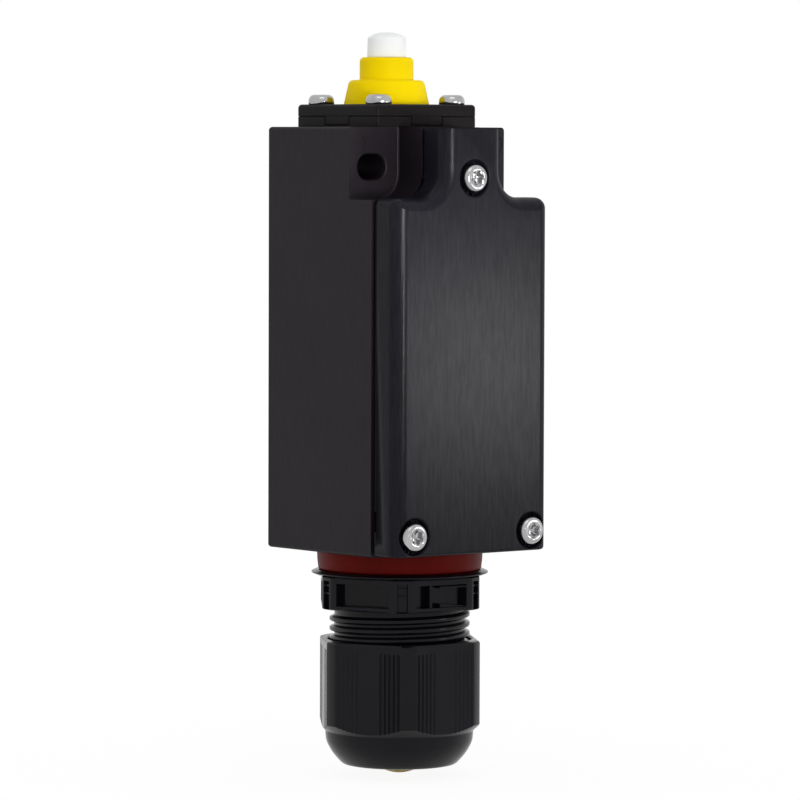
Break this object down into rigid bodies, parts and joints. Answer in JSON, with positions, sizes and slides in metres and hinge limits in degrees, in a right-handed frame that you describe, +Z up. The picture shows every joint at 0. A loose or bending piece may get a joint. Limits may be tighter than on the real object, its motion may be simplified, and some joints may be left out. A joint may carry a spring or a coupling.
{
  "type": "plunger position switch",
  "caption": "Position switch with a domed plunger in a stepped guide collar, a moulded housing with a screwed front cover, and a cable gland with a cap nut below.",
  "frame": {"origin": "midway between the two fixing slots, on the rear mounting face", "axes": "+Z up along the plunger, -Y out through the front cover, +Y into the mounting surface, +X to the right seen from the front"},
  "size_m": [0.0426, 0.0456, 0.1596],
  "materials": {
    "housing_plastic": "warm black, fine matte texture",
    "cover_plastic": "cool black, satin",
    "gland_plastic": "black, half gloss",
    "yellow_plastic": "bright yellow, smooth",
    "white_plastic": "off-white, smooth",
    "plug_plastic": "pale yellow, matte",
    "black_rubber": "black, matte",
    "red_rubber": "dark red, satin",
    "zinc_steel": "bright zinc plate",
    "brass": "turned",
    "spring_steel": "drawn wire",
    "silver": "silver contact faces",
    "block_plastic": "grey moulding"
  },
  "bodies": {
    "root": {"housing": "housing_plastic", "cover": "cover_plastic", "cover_gasket": "black_rubber", "cover_screws": "zinc_steel", "cover_inserts": "brass", "head_base": "housing_plastic", "head_cap": "housing_plastic", "head_gasket": "black_rubber", "head_screws": "zinc_steel", "guide_collar": "yellow_plastic", "plunger_wiper": "black_rubber", "return_spring": "spring_steel", "contact_block": "block_plastic", "block_screws": "zinc_steel", "slider_spring": "spring_steel", "nc_contacts": "brass", "no_contacts": "brass", "fixed_tips": "silver", "terminal_clamps": "zinc_steel", "terminal_screws": "zinc_steel", "gland_seal": "red_rubber", "gland_body": "gland_plastic", "sealing_insert": "black_rubber", "clamping_cage": "gland_plastic"},
    "plunger": {"plunger": "white_plastic", "contact_slider": "white_plastic", "nc_spring": "spring_steel", "no_spring": "spring_steel"},
    "nc_bridge": {"nc_bridge": "brass", "nc_bridge_tips": "silver"},
    "no_bridge": {"no_bridge": "brass", "no_bridge_tips": "silver"},
    "pressure_ring": {"pressure_ring": "gland_plastic"},
    "gland_nut": {"gland_nut": "gland_plastic"},
    "dust_plug": {"dust_plug": "plug_plastic"}
  },
  "joints": [
    {"name": "plunger_press", "type": "slide", "parent": "root", "child": "plunger", "axis": [0, 0, -1], "range_m": [0, 0.005], "stiffness_N_per_m": 1500, "springref_m": -0.004, "deforming": ["return_spring", "slider_spring"]},
    {"name": "nc_bridge_travel", "type": "slide", "parent": "root", "child": "nc_bridge", "axis": [0, 0, -1], "range_m": [0, 0.0035], "deforming": ["nc_spring"]},
    {"name": "no_bridge_travel", "type": "slide", "parent": "root", "child": "no_bridge", "axis": [0, 0, -1], "range_m": [0, 0.003], "deforming": ["no_spring"]},
    {"name": "nut_travel", "type": "slide", "parent": "root", "child": "pressure_ring", "axis": [0, 0, 1], "range_m": [-0.0042, 0.00385], "deforming": ["clamping_cage", "sealing_insert"]},
    {"name": "nut_turn", "type": "hinge", "parent": "pressure_ring", "child": "gland_nut", "pos_m": [0, -0.0195, -0.1151], "axis": [0, 0, 1], "range_deg": [-720, 660]},
    {"name": "plug_pull", "type": "slide", "parent": "root", "child": "dust_plug", "axis": [0, 0, -1], "range_m": [0, 0.03]}
  ],
  "couplings": [
    {"joint": "nc_bridge_travel", "follows": "plunger_press", "ratio": 0.7},
    {"joint": "no_bridge_travel", "follows": "plunger_press", "ratio": 0.6},
    {"joint": "nut_travel", "follows": "nut_turn", "m_per_rad": 0.00033423}
  ]
}
